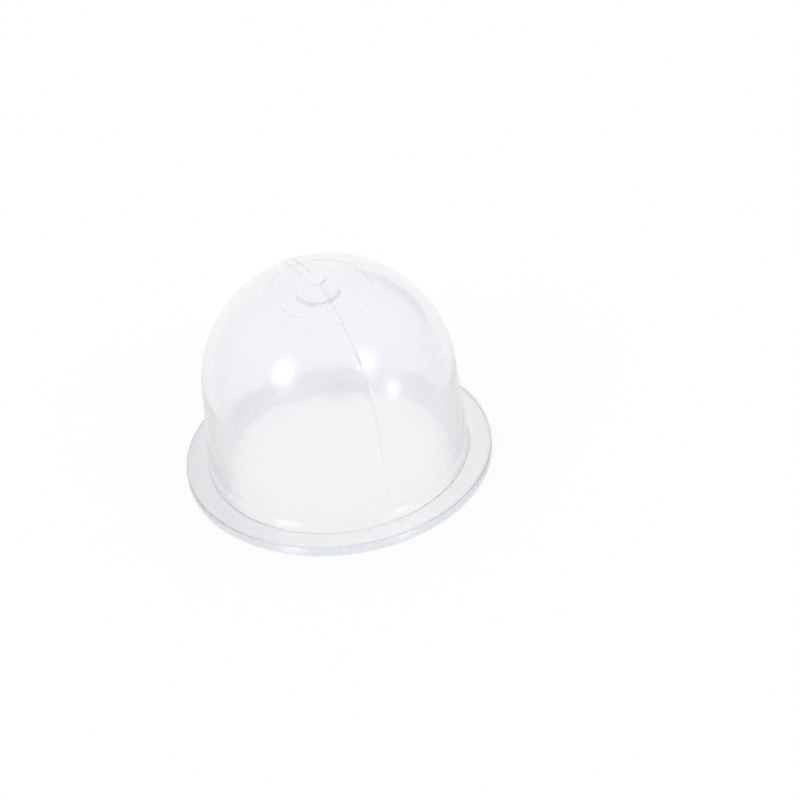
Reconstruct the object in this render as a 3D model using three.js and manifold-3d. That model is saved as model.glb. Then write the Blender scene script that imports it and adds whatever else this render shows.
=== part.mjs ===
// Primer bulb of a small two-stroke engine: one clear, soft moulding. A thin dome stands on a flat flange,
// which a retaining plate clamps against the carburettor. Pressing the dome squeezes out the air under it.
// Millimetres and degrees, +Z up. The origin is the centre of the flange's flat underside.
import * as THREE from "three";
import { mergeVertices } from "three/addons/utils/BufferGeometryUtils.js";
import Module from "manifold-3d";

// Flange
const flangeDiameter = 19;
const flangeThickness = 0.7;
const rimRounding = 0.12; // both corners of the flange's outer edge

// Dome, outside
const domeDiameter = 15.72; // of the cap, where its curve is widest
const domeHeight = 14; // underside of the flange to the top of the cap
const shoulderHeight = 6.4; // underside of the flange to the centre of the cap's curve
const wallDraft = 2.4; // lets the moulding leave its cavity
const rootFillet = 0.3; // between the wall and the top of the flange

// Dome, inside
const wallThickness = 0.8; // at the shoulder; thicker towards the root, as the hollow has less draft
const hollowDraft = 0.8;
const capThickness = 1.15; // at the middle of the cap
const mouthRounding = 0.15; // inner corner of the flange's underside

// What the mould leaves behind
const partingTurn = 19; // plane of the mould's split, from the YZ plane
const flashWidth = 0.18;
const flashHeight = 0.1;
const flashFlat = 0.04; // width of the flash's crest
const gateDiameter = 1.2; // stub of the sprue on top of the dome
const gateStub = 0.14;
const gateTaper = 0.06; // the stub narrows by this much towards its cut
const gateCutTilt = 6; // the stub was trimmed a little askew
const padDiameter = 3; // thicker disc under the gate, on the inside
const padDrop = 0.25;
const padSlope = 0.3; // width of the disc's slanted edge
const sleeveDiameter = 6; // ring left by the sleeve that pushes the moulding off its core
const sleeveGroove = 0.06;

// Fineness of the facets
const turns = 72;
const capSteps = 14;
const cornerSteps = 3;
const gateSides = 20;

const radians = THREE.MathUtils.degToRad;
const wasm = await Module();
wasm.setup();

// Points of an elliptical arc in the half plane of radius and height, both ends included.
function arc(centreR, centreZ, radiusR, radiusZ, from, to, steps) {
  return Array.from({ length: steps + 1 }, (_, i) => {
    const angle = from + ((to - from) * i) / steps;
    return new THREE.Vector2(centreR + radiusR * Math.cos(angle), centreZ + radiusZ * Math.sin(angle));
  });
}

// A bell is a drafted wall and a cap of half an ellipse, which meet without a corner.
class Bell {
  constructor(radius, rise, draft) {
    this.radius = radius;
    this.rise = rise;
    this.slope = Math.tan(radians(draft));
    this.shoulderAngle = Math.atan((rise / radius) * this.slope);
  }

  wallRadius(height) {
    const touchHeight = shoulderHeight + this.rise * Math.sin(this.shoulderAngle);
    return this.radius * Math.cos(this.shoulderAngle) + (touchHeight - height) * this.slope;
  }

  capHeight(radius) {
    return shoulderHeight + this.rise * Math.sqrt(1 - (radius / this.radius) ** 2);
  }

  // The cap's curve between two radii, starting at the outer one.
  capArc(outer, inner, steps) {
    const from = Math.max(this.shoulderAngle, Math.acos(Math.min(1, outer / this.radius)));
    return arc(0, shoulderHeight, this.radius, this.rise, from, Math.acos(inner / this.radius), steps);
  }
}

const outside = new Bell(domeDiameter / 2, domeHeight - shoulderHeight, wallDraft);
const inside = new Bell(outside.radius - wallThickness, outside.rise - capThickness, hollowDraft);

function flangeEdge() {
  const centre = flangeDiameter / 2 - rimRounding;
  const quarter = Math.PI / 2;
  return [
    ...arc(centre, rimRounding, rimRounding, rimRounding, -quarter, 0, cornerSteps),
    ...arc(centre, flangeThickness - rimRounding, rimRounding, rimRounding, 0, quarter, cornerSteps),
  ];
}

// Root fillet, wall and cap, from the top of the flange to the axis.
function domeEdge() {
  const draft = radians(wallDraft);
  const centreZ = flangeThickness + rootFillet;
  const centreR = outside.wallRadius(centreZ) + rootFillet / Math.cos(draft);
  return [
    ...arc(centreR, centreZ, rootFillet, rootFillet, 1.5 * Math.PI, Math.PI + draft, cornerSteps),
    ...outside.capArc(outside.radius, 0, capSteps),
  ];
}

// The space that the mould's core fills, down past the mouth: wall, cap, sleeve mark and pad under the gate.
function hollowEdge() {
  const below = -1;
  const mouth = inside.wallRadius(mouthRounding) + mouthRounding;
  const sleeve = sleeveDiameter / 2;
  const pad = padDiameter / 2;
  const padHeight = inside.capHeight(pad) - padDrop;
  return [
    new THREE.Vector2(0, below),
    new THREE.Vector2(mouth, below),
    ...arc(mouth, mouthRounding, mouthRounding, mouthRounding, -Math.PI / 2, -Math.PI, cornerSteps),
    ...inside.capArc(inside.radius, sleeve + sleeveGroove, capSteps - 4),
    new THREE.Vector2(sleeve, inside.capHeight(sleeve) + sleeveGroove),
    ...inside.capArc(sleeve - sleeveGroove, pad, cornerSteps),
    new THREE.Vector2(pad - padSlope, padHeight),
    new THREE.Vector2(0, padHeight),
  ];
}

// A closed mesh as a solid for joining and cutting. Triangles that a pole has shrunk to a line are left out.
function solid(geometry) {
  const bare = new THREE.BufferGeometry();
  bare.setAttribute("position", geometry.getAttribute("position"));
  bare.setIndex(geometry.index);
  const merged = mergeVertices(bare, 1e-4);
  const corners = [...merged.index.array];
  const kept = [];
  for (let i = 0; i < corners.length; i += 3) {
    const [a, b, c] = corners.slice(i, i + 3);
    if (a !== b && b !== c && c !== a) kept.push(a, b, c);
  }
  const vertProperties = merged.getAttribute("position").array;
  return new wasm.Manifold(new wasm.Mesh({ numProp: 3, vertProperties, triVerts: new Uint32Array(kept) }));
}

// A profile turned about the Z axis.
function turned(profile) {
  const geometry = new THREE.LatheGeometry(profile, turns);
  geometry.rotateX(Math.PI / 2);
  return solid(geometry);
}

// Flash of the mould's split: a low wedge in the parting plane, up one side of the dome and down the other.
function flash() {
  const half = domeEdge();
  const mirrored = half.slice(0, -1).reverse();
  const outline = [...half, ...mirrored.map((point) => new THREE.Vector2(-point.x, point.y))];
  const geometry = new THREE.ExtrudeGeometry(new THREE.Shape(outline), {
    depth: flashFlat,
    bevelThickness: (flashWidth - flashFlat) / 2,
    bevelSize: flashHeight,
    bevelSegments: 1,
  });
  geometry.translate(0, 0, -flashFlat / 2);
  geometry.rotateX(Math.PI / 2);
  geometry.rotateZ(radians(partingTurn) - Math.PI / 2);
  return solid(geometry);
}

// Stub of the sprue on top of the dome, sunk into the cap and cut off a little askew.
function gate() {
  const radius = gateDiameter / 2;
  const sunk = capThickness / 2;
  const height = sunk + gateStub;
  const stub = new THREE.CylinderGeometry(radius - gateTaper, radius, height, gateSides);
  stub.rotateX(Math.PI / 2);
  stub.translate(0, 0, domeHeight - sunk + height / 2);
  const tilt = radians(gateCutTilt);
  const knifeSize = 4 * gateDiameter;
  const knife = new THREE.BoxGeometry(knifeSize, knifeSize, knifeSize);
  knife.translate(0, 0, knifeSize / 2);
  knife.rotateY(tilt);
  knife.translate(0, 0, domeHeight + gateStub - radius * Math.tan(tilt));
  return solid(stub).subtract(solid(knife));
}

function bulbGeometry() {
  const body = turned([new THREE.Vector2(0, 0), ...flangeEdge(), ...domeEdge()]);
  const bulb = body.add(flash()).add(gate()).subtract(turned(hollowEdge()));
  const { vertProperties, triVerts, numProp } = bulb.getMesh();
  const geometry = new THREE.BufferGeometry();
  geometry.setAttribute("position", new THREE.BufferAttribute(vertProperties, numProp));
  geometry.setIndex(new THREE.BufferAttribute(triVerts, 1));
  geometry.computeVertexNormals();
  return geometry;
}

const clearPlastic = new THREE.MeshStandardMaterial({
  name: "clear_plastic",
  color: 0xe9ecf1,
  roughness: 0.12,
  metalness: 0,
  transparent: true,
  opacity: 0.35,
});

const bulb = new THREE.Mesh(bulbGeometry(), clearPlastic);
bulb.name = "primer_bulb";

const part = new THREE.Group();
part.name = "primer_bulb_part";
part.add(bulb);

export default part;
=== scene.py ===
# Primer bulb: one clear soft moulding, a dome on a flat flange, standing on its flange on a pale table.
import math

import bmesh
import bpy
from mathutils import Matrix, Vector, noise


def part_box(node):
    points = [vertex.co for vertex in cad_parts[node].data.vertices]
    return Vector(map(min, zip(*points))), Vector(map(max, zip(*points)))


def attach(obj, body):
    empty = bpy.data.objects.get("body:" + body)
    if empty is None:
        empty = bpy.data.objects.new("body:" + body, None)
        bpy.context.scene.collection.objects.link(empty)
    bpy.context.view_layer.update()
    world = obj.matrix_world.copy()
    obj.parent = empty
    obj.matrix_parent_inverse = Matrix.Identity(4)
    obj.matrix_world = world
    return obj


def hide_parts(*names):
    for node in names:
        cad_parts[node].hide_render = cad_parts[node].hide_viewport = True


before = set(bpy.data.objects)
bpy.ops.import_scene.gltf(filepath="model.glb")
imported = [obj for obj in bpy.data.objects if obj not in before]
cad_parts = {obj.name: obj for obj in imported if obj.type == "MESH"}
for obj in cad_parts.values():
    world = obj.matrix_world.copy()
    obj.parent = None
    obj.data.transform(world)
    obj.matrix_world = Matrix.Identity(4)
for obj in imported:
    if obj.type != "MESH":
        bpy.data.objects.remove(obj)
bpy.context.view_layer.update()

mm = 0.001
bulbNode = "primer_bulb"
nodeLow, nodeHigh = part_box(bulbNode)

bulb = {
    "flangeRadius": (nodeHigh.x - nodeLow.x) / 2,
    "flangeThickness": 0.7 * mm,
    "rimRounding": 0.1 * mm,
    "height": 14.0 * mm,  # top of the cap, under the gate stub
    "shoulderHeight": 6.4 * mm,
    "capRadius": 7.86 * mm,
    "wallDraft": 2.4,  # degrees
    "rootFillet": 0.16 * mm,
    "wall": 0.8 * mm,  # at the shoulder
    "cap": 1.15 * mm,
    "hollowDraft": 0.8,
    "mouthRounding": 0.15 * mm,
    "turns": 240,
}
partingLine = {
    "turn": 19.0,  # degrees from the YZ plane
    "width": 0.1 * mm,
    "topHeight": 0.05 * mm,  # of the flash near the gate
    "rootHeight": 0.035 * mm,
    "unevenness": 0.3,
}
gate = {
    "radius": 0.6 * mm,
    "height": 0.12 * mm,
    "rounding": 0.04 * mm,
    "squareness": 0.1,
    "cutTilt": 6.0,  # degrees
    "roughness": 0.03 * mm,
}
coreMarks = {
    "padRadius": 1.35 * mm,  # halfway down its slanted edge
    "padDrop": 0.1 * mm,
    "padEdge": 0.6 * mm,
    "ringRadius": 3.0 * mm,
    "ringDepth": 0.03 * mm,
    "ringWidth": 0.06 * mm,
    "faintRadius": 2.4 * mm,
    "faintDepth": 0.04 * mm,
    "faintFrom": -100.0,  # degrees, anticlockwise from +X seen from above
    "faintTo": -190.0,
}
camera = {
    "distance": 400 * mm,
    "elevation": 37.6,
    "roll": 7.55,
    "target": 7.0 * mm,  # height of the point that the photograph's measures start from
    "targetPixel": (328.1, 370.1),
    "pixelsPerMetre": 16294.0,  # at the target
    "picture": 800,
}


# Socket arithmetic


class Wire:
    # a socket that takes part in sums, and adds a Math node for each
    def __init__(self, shader, socket):
        self.shader, self.socket = shader, socket

    def sum(self, operation, first, second):
        return self.shader.add("ShaderNodeMath", {"operation": operation}, {0: first, 1: second})

    def __add__(self, other):
        return self.sum("ADD", self, other)

    def __sub__(self, other):
        return self.sum("SUBTRACT", self, other)

    def __mul__(self, other):
        return self.sum("MULTIPLY", self, other)

    def __rsub__(self, other):
        return self.sum("SUBTRACT", other, self)

    __radd__ = __add__
    __rmul__ = __mul__


class Shader:
    def __init__(self, name):
        self.material = bpy.data.materials.new(name)
        self.material.use_nodes = True
        self.tree = self.material.node_tree
        self.tree.nodes.clear()

    def add(self, kind, settings=None, sockets=None, output=0):
        node = self.tree.nodes.new(kind)
        for name, value in (settings or {}).items():
            setattr(node, name, value)
        for name, value in (sockets or {}).items():
            if isinstance(value, Wire):
                self.tree.links.new(value.socket, node.inputs[name])
            else:
                node.inputs[name].default_value = value
        return Wire(self, node.outputs[output])

    def ramp(self, value, start, end):
        # 0 where the value is at the start or before it, 1 at the end or past it
        return self.add("ShaderNodeMapRange", None, {"Value": value, "From Min": start, "From Max": end})

    def blend(self, factor, first, second):
        sockets = {"Factor": factor, 6: first, 7: second}  # the inputs A and B of a colour mix
        return self.add("ShaderNodeMix", {"data_type": "RGBA"}, sockets, 2)

    def vector(self, operation, sockets, output="Vector"):
        return self.add("ShaderNodeVectorMath", {"operation": operation}, sockets, output)

    def finish(self, surface):
        end = self.tree.nodes.new("ShaderNodeOutputMaterial")
        self.tree.links.new(surface.socket, end.inputs["Surface"])
        return self.material


# The bulb's half section, from the top of the cap round the flange to the pad inside


def arc(centreR, centreZ, radiusR, radiusZ, start, end, steps):
    angles = [math.radians(start + (end - start) * i / steps) for i in range(steps + 1)]
    return [(centreR + radiusR * math.cos(a), centreZ + radiusZ * math.sin(a)) for a in angles]


def bell(radius, rise, draft):
    # angle where the cap's half ellipse meets the drafted wall, and the wall's radius at a height
    slope = math.tan(math.radians(draft))
    touch = math.atan(rise / radius * slope)
    touchHeight = bulb["shoulderHeight"] + rise * math.sin(touch)
    return math.degrees(touch), lambda height: radius * math.cos(touch) + (touchHeight - height) * slope


def smoothStep(x):
    x = min(1.0, max(0.0, x))
    return x * x * (3 - 2 * x)


def gateEdge():
    top, radius, rounding = bulb["height"] + gate["height"], gate["radius"], gate["rounding"]
    flat = [(radius * share, top) for share in (0.0, 0.25, 0.5, 0.75)]
    return flat + arc(radius - rounding, top - rounding, rounding, rounding, 90, 0, 3)


def outsideEdge():
    radius, rise = bulb["capRadius"], bulb["height"] - bulb["shoulderHeight"]
    touch, wallRadius = bell(radius, rise, bulb["wallDraft"])
    gateAngle = math.degrees(math.acos(gate["radius"] / radius))
    cap = arc(0, bulb["shoulderHeight"], radius, rise, gateAngle, touch, 56)
    fillet, thick, rim = bulb["rootFillet"], bulb["flangeThickness"], bulb["rimRounding"]
    filletTop = thick + fillet
    draft = bulb["wallDraft"]
    filletCentre = wallRadius(filletTop) + fillet / math.cos(math.radians(draft))
    wallTop = cap[-1][1]
    wall = [wallTop + (filletTop - wallTop) * i / 14 for i in range(1, 14)]
    centre = bulb["flangeRadius"] - rim
    flat = [filletCentre + (centre - filletCentre) * i / 5 for i in range(1, 5)]
    return (
        cap
        + [(wallRadius(z), z) for z in wall]
        + arc(filletCentre, filletTop, fillet, fillet, 180 + draft, 270, 7)
        + [(r, thick) for r in flat]
        + arc(centre, thick - rim, rim, rim, 90, 0, 5)
        + arc(centre, rim, rim, rim, 0, -90, 5)
    )


def crownHeight(r, radius, rise):
    # inside of the cap near the axis, with the groove of the ejector sleeve and the pad under the gate
    ellipse = bulb["shoulderHeight"] + rise * math.sqrt(1 - (r / radius) ** 2)
    off = (r - coreMarks["ringRadius"]) / coreMarks["ringWidth"]
    groove = coreMarks["ringDepth"] * math.exp(-off * off)
    pad = 1 - smoothStep((r - coreMarks["padRadius"]) / coreMarks["padEdge"] + 0.5)
    rim = bulb["shoulderHeight"] + rise * math.sqrt(1 - (coreMarks["padRadius"] / radius) ** 2)
    return (ellipse + groove) * (1 - pad) + (rim - coreMarks["padDrop"]) * pad


def insideEdge():
    radius = bulb["capRadius"] - bulb["wall"]
    rise = bulb["height"] - bulb["shoulderHeight"] - bulb["cap"]
    touch, wallRadius = bell(radius, rise, bulb["hollowDraft"])
    corner = bulb["mouthRounding"]
    mouth = wallRadius(corner) + corner
    shoulder = bulb["shoulderHeight"] + rise * math.sin(math.radians(touch))
    wall = [corner + (shoulder - corner) * i / 18 for i in range(1, 18)]
    crownRadius = coreMarks["ringRadius"] + 4 * coreMarks["ringWidth"]
    crownAngle = math.degrees(math.acos(crownRadius / radius))
    crown = [crownRadius * (1 - i / 110) for i in range(1, 111)]
    edge = bulb["flangeRadius"] - bulb["rimRounding"]
    underside = [edge + (mouth - edge) * i / 6 for i in range(1, 6)]
    return (
        [(r, 0.0) for r in underside]
        + arc(mouth, corner, corner, corner, -90, -180, 5)
        + [(wallRadius(z), z) for z in wall]
        + arc(0, bulb["shoulderHeight"], radius, rise, touch, crownAngle, 44)
        + [(r, crownHeight(r, radius, rise)) for r in crown]
    )


# Modelling


def select(mesh, mode, wanted):
    bpy.ops.mesh.select_mode(type=mode)
    bpy.ops.mesh.select_all(action="DESELECT")
    for item in {"VERT": mesh.verts, "FACE": mesh.faces}[mode]:
        item.select = wanted(item)
    mesh.select_flush(True)


def makeBulb():
    path = gateEdge() + outsideEdge() + insideEdge()
    bpy.ops.object.select_all(action="DESELECT")
    bpy.ops.mesh.primitive_plane_add(size=mm, location=(path[0][0], 0, path[0][1]))
    shell = bpy.context.object
    shell.name = "clearBulb"
    bpy.ops.object.mode_set(mode="EDIT")
    bpy.ops.mesh.select_all(action="SELECT")
    bpy.ops.mesh.merge(type="CENTER")
    for (fromR, fromZ), (toR, toZ) in zip(path, path[1:]):  # draws the half section
        step = (toR - fromR, 0, toZ - fromZ)
        bpy.ops.mesh.extrude_vertices_move(TRANSFORM_OT_translate={"value": step})
    bpy.ops.mesh.select_all(action="SELECT")
    bpy.ops.mesh.spin(steps=bulb["turns"], angle=2 * math.pi, center=(0, 0, 0), axis=(0, 0, 1))
    bpy.ops.mesh.select_all(action="SELECT")
    bpy.ops.mesh.remove_doubles(threshold=0.0005 * mm)
    bpy.ops.mesh.normals_make_consistent(inside=False)
    bpy.ops.object.mode_set(mode="OBJECT")
    bpy.ops.object.transform_apply(location=True, rotation=True, scale=True)
    # the section was drawn along +X, and one of its copies has to lie in the parting plane
    shell.data.transform(Matrix.Rotation(math.radians(partingLine["turn"]) - math.pi / 2, 4, "Z"))
    print("shell:", len(shell.data.polygons), "faces")
    return shell


def partingNormal():
    turn = math.radians(partingLine["turn"])
    return Vector((math.cos(turn), math.sin(turn), 0))


def isOutside(face):
    centre = face.calc_center_median()
    fromMiddle = centre - Vector((0, 0, min(centre.z, bulb["shoulderHeight"])))
    return centre.z > bulb["flangeThickness"] and face.normal.dot(fromMiddle) > 0


def raiseFlash(shell):
    across, half = partingNormal(), partingLine["width"] / 2
    bpy.ops.object.mode_set(mode="EDIT")
    for side in (-half, half):  # edges along both feet of the flash
        mesh = bmesh.from_edit_mesh(shell.data)
        select(mesh, "FACE", isOutside)
        bpy.ops.mesh.bisect(plane_co=across * side, plane_no=across)
    mesh = bmesh.from_edit_mesh(shell.data)
    mesh.normal_update()
    outer = {v for f in mesh.faces if isOutside(f) for v in f.verts}
    moves = []
    for v in outer:
        distance = v.co.dot(across)
        radius = math.hypot(v.co.x, v.co.y)
        if abs(distance) < half and radius > gate["radius"] * 0.98:
            depth = max(0.0, bulb["height"] - v.co.z)
            sink = math.sqrt(depth / (bulb["height"] - bulb["flangeThickness"]))
            height = partingLine["topHeight"] + (partingLine["rootHeight"] - partingLine["topHeight"]) * sink
            uneven = 1 + partingLine["unevenness"] * noise.noise(v.co / (1.3 * mm))
            rootFade = smoothStep((v.co.z - bulb["flangeThickness"]) / (2 * bulb["rootFillet"]))
            moves.append((v, v.normal * height * uneven * rootFade * (1 - abs(distance) / half)))
    for v, move in moves:
        v.co += move
    bmesh.update_edit_mesh(shell.data)
    bpy.ops.object.mode_set(mode="OBJECT")
    print("flash:", len(moves), "points raised")


def trimGate(shell):
    top, radius = bulb["height"], gate["radius"]
    slope = math.tan(math.radians(gate["cutTilt"]))
    for v in shell.data.vertices:
        reach = math.hypot(v.co.x, v.co.y)
        if v.co.z > top - 0.05 * mm and reach < radius * 1.02:
            angle = math.atan2(v.co.y, v.co.x)
            lift = smoothStep((v.co.z - top) / gate["height"])
            bumps = math.cos(4 * angle) + 0.5 * noise.noise(v.co / (0.4 * mm))
            grow = 1 + gate["squareness"] * bumps * lift
            torn = gate["roughness"] * noise.noise(v.co / (0.15 * mm) + Vector((3, 1, 0)))
            v.co.z += lift * (v.co.x * slope + torn)
            v.co.x *= grow
            v.co.y *= grow
    print("gate trimmed")


def pressFaintRing(shell):
    start, end = math.radians(coreMarks["faintFrom"]), math.radians(coreMarks["faintTo"])
    for v in shell.data.vertices:
        reach = math.hypot(v.co.x, v.co.y)
        off = (reach - coreMarks["faintRadius"]) / coreMarks["ringWidth"]
        if abs(off) < 3 and bulb["shoulderHeight"] < v.co.z < bulb["height"] - 0.8 * bulb["cap"]:
            angle = math.atan2(v.co.y, v.co.x)
            if angle > 0:
                angle -= 2 * math.pi
            along = (start - angle) / (start - end)
            fade = smoothStep(4 * along) * smoothStep(4 - 4 * along)
            v.co.z += coreMarks["faintDepth"] * math.exp(-off * off) * fade
    print("faint ring pressed")


def finishShell(shell):
    shell.data.update()
    bpy.ops.object.select_all(action="DESELECT")
    shell.select_set(True)
    bpy.context.view_layer.objects.active = shell
    bpy.ops.object.shade_smooth_by_angle(angle=math.radians(32))


# Materials


plastic = {
    "domeTints": ((0.955, 0.96, 0.98, 1), (0.975, 0.98, 0.998, 1)),
    "flangeTintAndSideShade": ((0.97, 0.972, 0.99, 1), (0.82, 0.83, 0.85, 1)),  # the plastic's tint at the front and back, painted shade at the left and right
    # painted shade: the rim is painted darkest, as it looks seen along the flange
    "rimPaintedShade": (0.72, 0.76, 0.78, 1),
    # painted shade: a darker line along the crest of the flash
    "seamPaintedShade": (0.8, 0.81, 0.825, 1),
    "seamCore": 0.03 * mm,  # half width of the line of painted shade, and of its soft edges
    "seamEdge": 0.08 * mm,
    "seamTop": 14.05 * mm,  # the crest of the flash is lower than this, and the gate's top is higher
    "outsideReach": 7.35 * mm,  # between the hollow and the outside, measured from the cap's centre
    "rimStart": 9.3 * mm,
    "rimEnd": 9.5 * mm,
    "rootStart": 7.4 * mm,
    "rootEnd": 8.3 * mm,
    "wallStart": 0.7 * mm,
    "wallEnd": 1.2 * mm,
}


def seamShadeMask(s, place, height):
    # the crest of the flash, outside only, fainter towards the root, where the line of painted shade goes
    shoulder = (0, 0, bulb["shoulderHeight"])
    fromShoulder = s.vector("SUBTRACT", {0: place, 1: shoulder})
    upward = s.vector("MAXIMUM", {0: fromShoulder, 1: (-1, -1, 0)})
    reach = s.vector("LENGTH", {0: upward}, "Value")
    outside = s.add("ShaderNodeMath", {"operation": "GREATER_THAN"}, {0: reach, 1: plastic["outsideReach"]})
    off = s.vector("DOT_PRODUCT", {0: place, 1: tuple(partingNormal())}, "Value")
    off = s.add("ShaderNodeMath", {"operation": "ABSOLUTE"}, {0: off})
    near = s.ramp(off, plastic["seamEdge"], plastic["seamCore"])
    belowGate = s.add("ShaderNodeMath", {"operation": "LESS_THAN"}, {0: height, 1: plastic["seamTop"]})
    return outside * near * belowGate * s.ramp(height, bulb["flangeThickness"], 12 * mm)


def tintWithPaintedFlangeShade(s, place, reach):
    # painted shade: the sides are painted darker than the front, and the rim, seen along the flange, darkest
    # of all
    across = s.add("ShaderNodeSeparateXYZ", None, {"Vector": place}, "X")
    aside = s.add("ShaderNodeMath", {"operation": "ABSOLUTE"}, {0: across - 2 * mm})
    pastDome = s.ramp(reach, plastic["rootStart"], plastic["rootEnd"])
    face = s.blend(s.ramp(aside, 3 * mm, 11 * mm) * pastDome, *plastic["flangeTintAndSideShade"])
    return s.blend(s.ramp(reach, plastic["rimStart"], plastic["rimEnd"]), face, plastic["rimPaintedShade"])


def clearPlastic():
    s = Shader("clearPlastic")
    place = s.add("ShaderNodeTexCoord", output="Object")
    height = s.add("ShaderNodeSeparateXYZ", None, {"Vector": place}, "Z")
    reach = s.vector("LENGTH", {0: place}, "Value")
    flow = s.add("ShaderNodeTexNoise", None, {"Vector": place, "Scale": 260.0, "Detail": 3.0})
    grain = s.add("ShaderNodeTexNoise", None, {"Vector": place, "Scale": 3000.0, "Detail": 2.0})
    relief = {"Height": flow + grain * 0.04, "Strength": 0.25, "Distance": 0.02 * mm}
    ripple = s.add("ShaderNodeBump", None, relief)
    onDome = s.ramp(height, plastic["wallStart"], plastic["wallEnd"])
    # base colour: the plastic's own tint, with painted shade on the flange sides and the rim
    colourAndShade = s.blend(onDome, tintWithPaintedFlangeShade(s, place, reach), s.blend(flow, *plastic["domeTints"]))
    # painted shade: the darker line along the flash's crest
    colourAndShade = s.blend(seamShadeMask(s, place, height), colourAndShade, plastic["seamPaintedShade"])
    surface = s.add(
        "ShaderNodeBsdfPrincipled",
        None,
        {
            "Base Color": colourAndShade,
            "Roughness": flow * 0.06 + 0.11,
            "IOR": 1.5,
            "Transmission Weight": 1.0,
            "Normal": ripple,
        },
    )
    return s.finish(surface)


tableGlow = {"toCamera": 0.9, "throughPlastic": 0.85}  # share of plain white; the rest takes shadows


def paleTable():
    s = Shader("paleTable")
    seen = s.add("ShaderNodeLightPath", output="Is Camera Ray")
    rays = seen.socket.node
    through = Wire(s, rays.outputs["Is Glossy Ray"]) + Wire(s, rays.outputs["Is Transmission Ray"])
    through = s.add("ShaderNodeMath", {"operation": "MINIMUM"}, {0: through, 1: 1.0})
    share = seen * tableGlow["toCamera"] + through * tableGlow["throughPlastic"]
    cloth = s.add("ShaderNodeTexNoise", None, {"Scale": 900.0})
    pale = s.blend(cloth, (0.88, 0.88, 0.88, 1), (0.9, 0.9, 0.9, 1))
    matt = s.add("ShaderNodeBsdfDiffuse", None, {"Color": pale})
    glow = s.add("ShaderNodeEmission", None, {"Color": (1, 1, 1, 1), "Strength": 1.0})
    return s.finish(s.add("ShaderNodeMixShader", None, {"Fac": share, 1: matt, 2: glow}))


# Studio


def makeTable():
    bpy.ops.object.select_all(action="DESELECT")
    bpy.ops.mesh.primitive_plane_add(size=4.0, location=(0, 0, -0.01 * mm))
    table = bpy.context.object
    table.name = "table"
    table.data.materials.append(paleTable())


def direction(azimuth, elevation):
    # azimuth 0 is the camera's side, and it grows towards +X
    a, e = math.radians(azimuth), math.radians(elevation)
    return Vector((math.sin(a) * math.cos(e), -math.cos(a) * math.cos(e), math.sin(e)))


def softbox(name, azimuth, elevation, distance, width, height, power):
    away = direction(azimuth, elevation)
    light = bpy.data.lights.new(name, "AREA")
    light.shape = "ELLIPSE"
    light.size, light.size_y, light.energy = width, height, power
    light.use_nodes = True  # brightest in the middle
    nodes, links = light.node_tree.nodes, light.node_tree.links
    spot = nodes.new("ShaderNodeNewGeometry")
    reach = nodes.new("ShaderNodeVectorMath")
    reach.operation = "DISTANCE"
    reach.inputs[1].default_value = (0.5, 0.5, 0.0)
    fade = nodes.new("ShaderNodeMapRange")
    fade.interpolation_type = "SMOOTHSTEP"
    for socket, value in (("From Min", 0.5), ("From Max", 0.0), ("To Max", 3.3)):
        fade.inputs[socket].default_value = value
    links.new(spot.outputs["Parametric"], reach.inputs[0])
    links.new(reach.outputs["Value"], fade.inputs["Value"])
    links.new(fade.outputs["Result"], nodes["Emission"].inputs["Strength"])
    lamp = bpy.data.objects.new(name, light)
    bpy.context.scene.collection.objects.link(lamp)
    lamp.location = away * distance
    lamp.rotation_euler = away.to_track_quat("Z", "Y").to_euler()
    lamp.visible_camera = False


def makeDarkCard(name, azimuth, elevation, distance, halfWidth, halfHeight, turn):
    # something dark in the room: only the gloss of the plastic sees it
    bpy.ops.object.select_all(action="DESELECT")
    bpy.ops.mesh.primitive_circle_add(vertices=48, radius=1, fill_type="NGON")
    card = bpy.context.object
    card.name = name
    away = direction(azimuth, elevation)
    tilt = Matrix.Rotation(math.radians(turn), 3, "Z")
    card.scale = (halfWidth, halfHeight, 1)
    card.rotation_euler = (away.to_track_quat("Z", "Y").to_matrix() @ tilt).to_euler()
    card.location = away * distance
    s = Shader(name)
    place = s.add("ShaderNodeTexCoord", output="Object")
    fromMiddle = s.vector("LENGTH", {0: place}, "Value")
    fade = s.add(
        "ShaderNodeMapRange",
        {"interpolation_type": "SMOOTHSTEP"},
        {"Value": fromMiddle, "From Min": 1.0, "From Max": 0.2},
    )
    clear = s.add("ShaderNodeBsdfTransparent")
    black = s.add("ShaderNodeBsdfDiffuse", None, {"Color": (0.02, 0.02, 0.025, 1)})
    edge = s.add("ShaderNodeMixShader", None, {"Fac": fade, 1: clear, 2: black})
    card.data.materials.append(s.finish(edge))
    card.visible_camera = card.visible_transmission = False
    card.visible_diffuse = card.visible_shadow = False


def makeSky():
    world = bpy.data.worlds.new("studio")
    bpy.context.scene.world = world
    world.use_nodes = True
    nodes, links = world.node_tree.nodes, world.node_tree.links
    nodes.clear()
    out = nodes.new("ShaderNodeOutputWorld")
    back = nodes.new("ShaderNodeBackground")
    back.inputs["Color"].default_value = (1, 1, 1, 1)
    rays = nodes.new("ShaderNodeLightPath")
    seen = nodes.new("ShaderNodeMath")
    also = nodes.new("ShaderNodeMath")
    span = nodes.new("ShaderNodeMapRange")
    span.inputs["To Min"].default_value = 0.95
    links.new(rays.outputs["Is Camera Ray"], seen.inputs[0])
    links.new(rays.outputs["Is Glossy Ray"], seen.inputs[1])
    links.new(seen.outputs[0], also.inputs[0])
    links.new(rays.outputs["Is Transmission Ray"], also.inputs[1])
    links.new(also.outputs[0], span.inputs["Value"])
    links.new(span.outputs["Result"], back.inputs["Strength"])
    links.new(back.outputs["Background"], out.inputs["Surface"])


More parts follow.
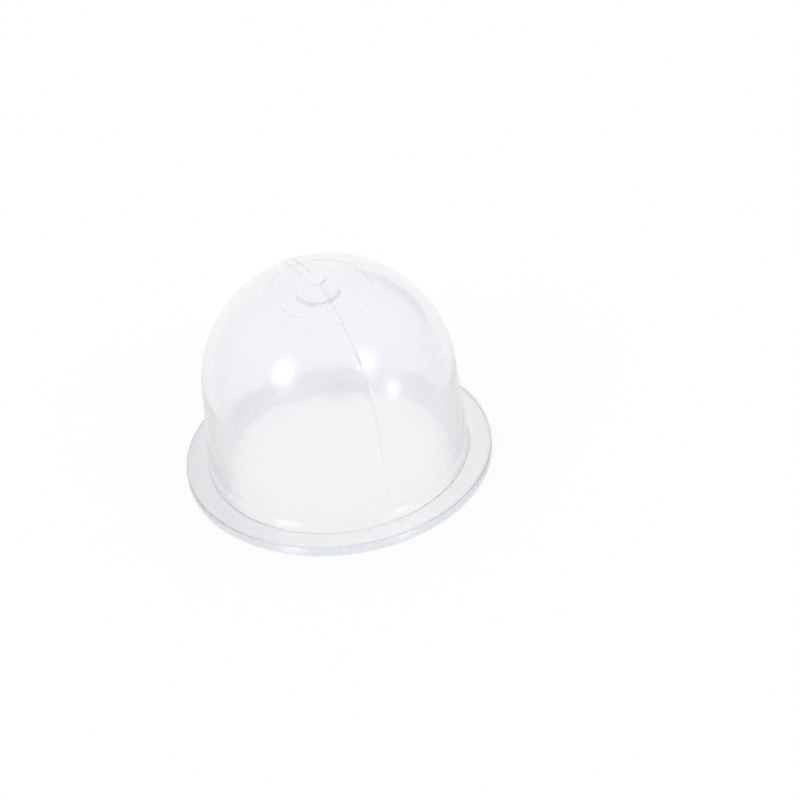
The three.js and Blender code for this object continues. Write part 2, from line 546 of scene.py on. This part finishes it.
def makeCamera():
    elevation, roll = math.radians(camera["elevation"]), math.radians(camera["roll"])
    back = Vector((0, -math.cos(elevation), math.sin(elevation)))
    right, up = Vector((1, 0, 0)), Vector((0, math.sin(elevation), math.cos(elevation)))
    pictureRight = right * math.cos(roll) - up * math.sin(roll)
    pictureUp = right * math.sin(roll) + up * math.cos(roll)
    eye = Vector((0, 0, camera["target"])) + back * camera["distance"]
    middle = camera["picture"] / 2
    offX, offY = (middle - pixel for pixel in camera["targetPixel"])
    shift = (pictureRight * offX - pictureUp * offY) / camera["pixelsPerMetre"]
    aim = Vector((0, 0, camera["target"])) + shift
    look = (eye - aim).normalized()
    side = pictureUp.cross(look).normalized()
    turn = Matrix((side, look.cross(side), look)).transposed()
    data = bpy.data.cameras.new("camera")
    data.sensor_width = 36.0
    data.lens = data.sensor_width * camera["distance"] * camera["pixelsPerMetre"] / camera["picture"]
    data.clip_start = 0.01
    body = bpy.data.objects.new("camera", data)
    bpy.context.scene.collection.objects.link(body)
    body.matrix_world = Matrix.Translation(eye) @ turn.to_4x4()
    bpy.context.scene.camera = body


makeCamera()
makeSky()
makeTable()
makeDarkCard("frontCard", azimuth=12, elevation=29, distance=0.45, halfWidth=0.22, halfHeight=0.15, turn=0)
makeDarkCard("backCard", azimuth=139, elevation=10, distance=0.12, halfWidth=0.08, halfHeight=0.026, turn=36)
softbox("leftBox", azimuth=-56, elevation=40, distance=0.5, width=0.26, height=0.34, power=0.32)
softbox("rightBox", azimuth=49, elevation=43, distance=0.5, width=0.26, height=0.3, power=0.22)
softbox("rightStrip", azimuth=58, elevation=10, distance=0.5, width=0.2, height=0.3, power=0.14)
print("studio ready")

shell = makeBulb()
raiseFlash(shell)
trimGate(shell)
pressFaintRing(shell)
finishShell(shell)
shell.data.materials.append(clearPlastic())
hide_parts(bulbNode)
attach(shell, "root")
print("bulb ready")

scene = bpy.context.scene
scene.view_settings.view_transform = "Standard"
scene.cycles.max_bounces = scene.cycles.transmission_bounces = scene.cycles.glossy_bounces = 32
